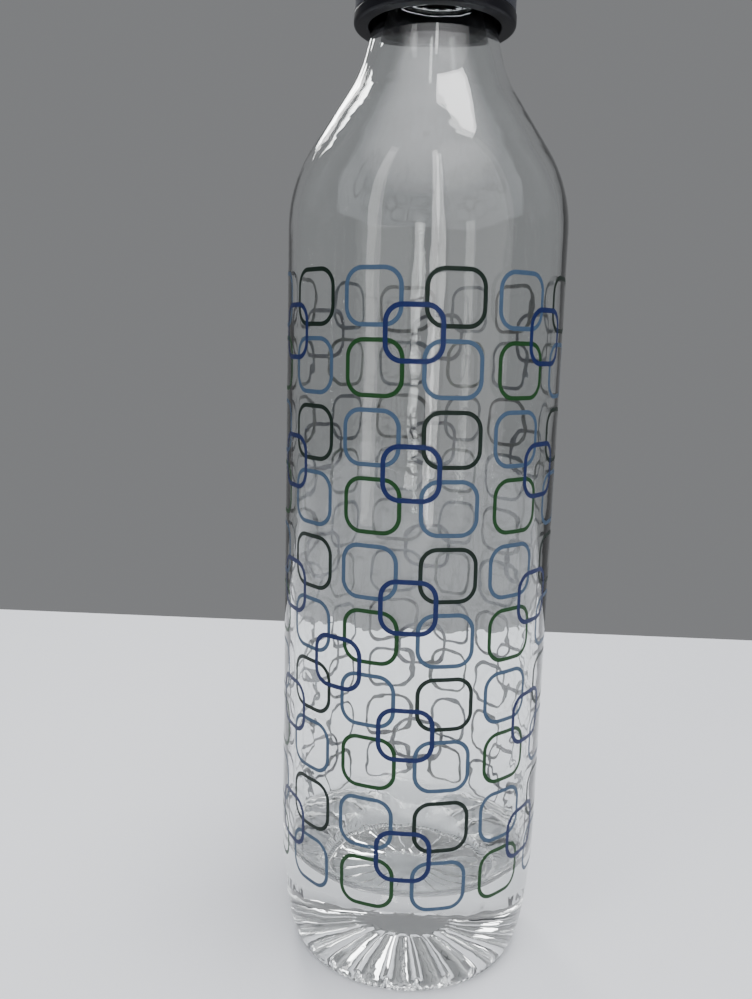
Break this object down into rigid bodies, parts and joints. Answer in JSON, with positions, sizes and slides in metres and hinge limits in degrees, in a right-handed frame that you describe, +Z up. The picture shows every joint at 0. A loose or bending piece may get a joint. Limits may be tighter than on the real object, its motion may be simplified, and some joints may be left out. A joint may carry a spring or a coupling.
{
  "type": "screw-cap water bottle",
  "caption": "Clear glass drinking-water bottle with a printed body, long shoulder, thick fluted base and a two-tone screw cap.",
  "frame": {"origin": "on the bottle's axis, on the plane that the base's bearing ring stands on", "axes": "+Z up along the bottle's axis towards the cap; -Y faces the viewer, +X is to the viewer's right"},
  "size_m": [0.082, 0.082, 0.3047],
  "materials": {
    "clear_glass": "clear colourless soda-lime glass, fire-polished",
    "black_plastic": "black moulded polypropylene, semi-gloss",
    "grey_plastic": "dark grey moulded polypropylene, semi-gloss",
    "dark_liner": "dark soft liner, matte"
  },
  "bodies": {
    "bottle": {"glass_bottle": "clear_glass"},
    "seal": {"seal_disc": "dark_liner"},
    "cap": {"cap_insert": "black_plastic", "cap_shell": "grey_plastic"}
  },
  "joints": [
    {"name": "cap_rise", "type": "slide", "parent": "bottle", "child": "seal", "axis": [0, 0, 1], "range_m": [0, 0.0252]},
    {"name": "cap_turn", "type": "hinge", "parent": "seal", "child": "cap", "pos_m": [0, 0, 0.2802], "axis": [0, 0, 1], "range_deg": [0, 2160]}
  ],
  "couplings": [
    {"joint": "cap_rise", "follows": "cap_turn", "m_per_rad": 0.00066845}
  ]
}
